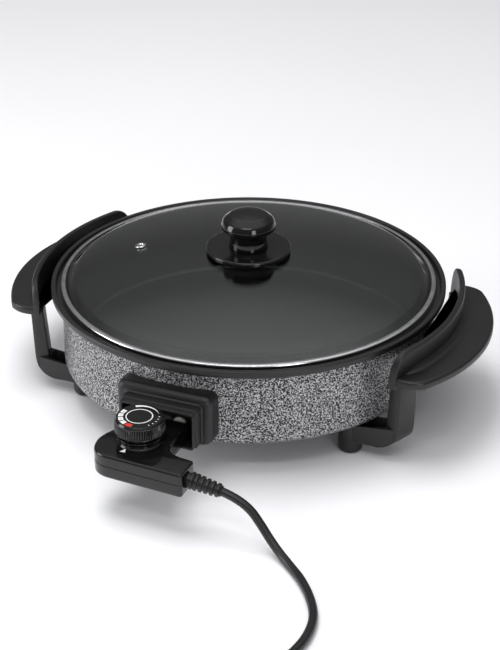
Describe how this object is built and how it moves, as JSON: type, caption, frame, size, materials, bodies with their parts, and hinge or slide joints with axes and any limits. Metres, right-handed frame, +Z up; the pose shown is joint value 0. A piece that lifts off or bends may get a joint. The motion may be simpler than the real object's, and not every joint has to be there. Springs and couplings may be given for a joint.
{
  "type": "electric griddle",
  "caption": "Round electric griddle: speckled non-stick pan on two black handle mouldings, domed glass lid with a black knob, and a plug-in dial thermostat control with its cord.",
  "frame": {"origin": "Centre of the bounding box in plan, without the cord, at the level the feet stand on. The pan axis is 45 mm behind it.", "axes": "+Z up; the handles are at +X and -X; the thermostat control plugs in from -Y."},
  "size_m": [0.5542, 0.7491, 0.1885],
  "materials": {
    "pan_coat": "cast, with a speckled grey hammertone paint outside and black non-stick coating on the rim and inside",
    "black_matt": "black heat-resistant plastic, satin",
    "black_gloss": "polished black plastic",
    "steel": "bright rolled steel",
    "steel_parts": "plain zinc or steel",
    "sheath": "dull oxidised steel sheath",
    "aluminium": "cast",
    "ceramic": "unglazed",
    "brass": "plain",
    "glass": "clear tempered glass",
    "silicone": "translucent silicone",
    "rubber": "black flexible PVC, satin"
  },
  "bodies": {
    "pan": {"pan_body": "pan_coat", "heating_element": "sheath", "element_clip_1": "steel_parts", "element_clip_2": "steel_parts", "element_clip_3": "steel_parts", "terminal_pin_left": "steel_parts", "terminal_pin_right": "steel_parts", "terminal_insulator_left": "ceramic", "terminal_insulator_right": "ceramic", "probe_sleeve": "aluminium", "socket_shroud": "black_matt", "shroud_screw_left": "steel_parts", "shroud_screw_right": "steel_parts", "handle_right": "black_matt", "handle_left": "black_matt", "foot_washer_right_back": "steel_parts", "foot_washer_right_front": "steel_parts", "foot_washer_left_back": "steel_parts", "foot_washer_left_front": "steel_parts", "foot_screw_right_back": "steel_parts", "foot_screw_right_front": "steel_parts", "foot_screw_left_back": "steel_parts", "foot_screw_left_front": "steel_parts"},
    "lid": {"lid_glass": "glass", "lid_rim_band": "steel", "vent_eyelet": "steel", "knob_escutcheon": "black_gloss", "lid_knob": "black_gloss", "knob_gasket": "silicone", "knob_washer": "steel_parts", "knob_screw": "steel_parts"},
    "control": {"control_upper_shell": "black_gloss", "control_lower_shell": "black_gloss", "housing_screw_1": "steel_parts", "housing_screw_2": "steel_parts", "probe_rod": "steel_parts", "terminal_socket_left": "brass", "terminal_socket_right": "brass", "thermostat_frame": "steel_parts", "fixed_contact_blade": "brass", "moving_contact_blade": "brass", "strain_relief": "rubber", "power_cord": "rubber", "cord_coil": "rubber", "cord_tie": "rubber", "plug_body": "rubber", "plug_blade_1": "brass", "plug_blade_2": "brass"},
    "dial": {"temperature_dial": "black_gloss", "dial_spindle": "brass"}
  },
  "joints": [
    {"name": "lid_lift", "type": "slide", "parent": "pan", "child": "lid", "axis": [0, 0, 1], "range_m": [0, 0.15]},
    {"name": "control_pull", "type": "slide", "parent": "pan", "child": "control", "axis": [0, -1, 0], "range_m": [0, 0.06]},
    {"name": "dial_turn", "type": "hinge", "parent": "control", "child": "dial", "pos_m": [-0.0045, -0.203, 0.083], "axis": [0, 0, 1], "range_deg": [-270, 0]}
  ]
}
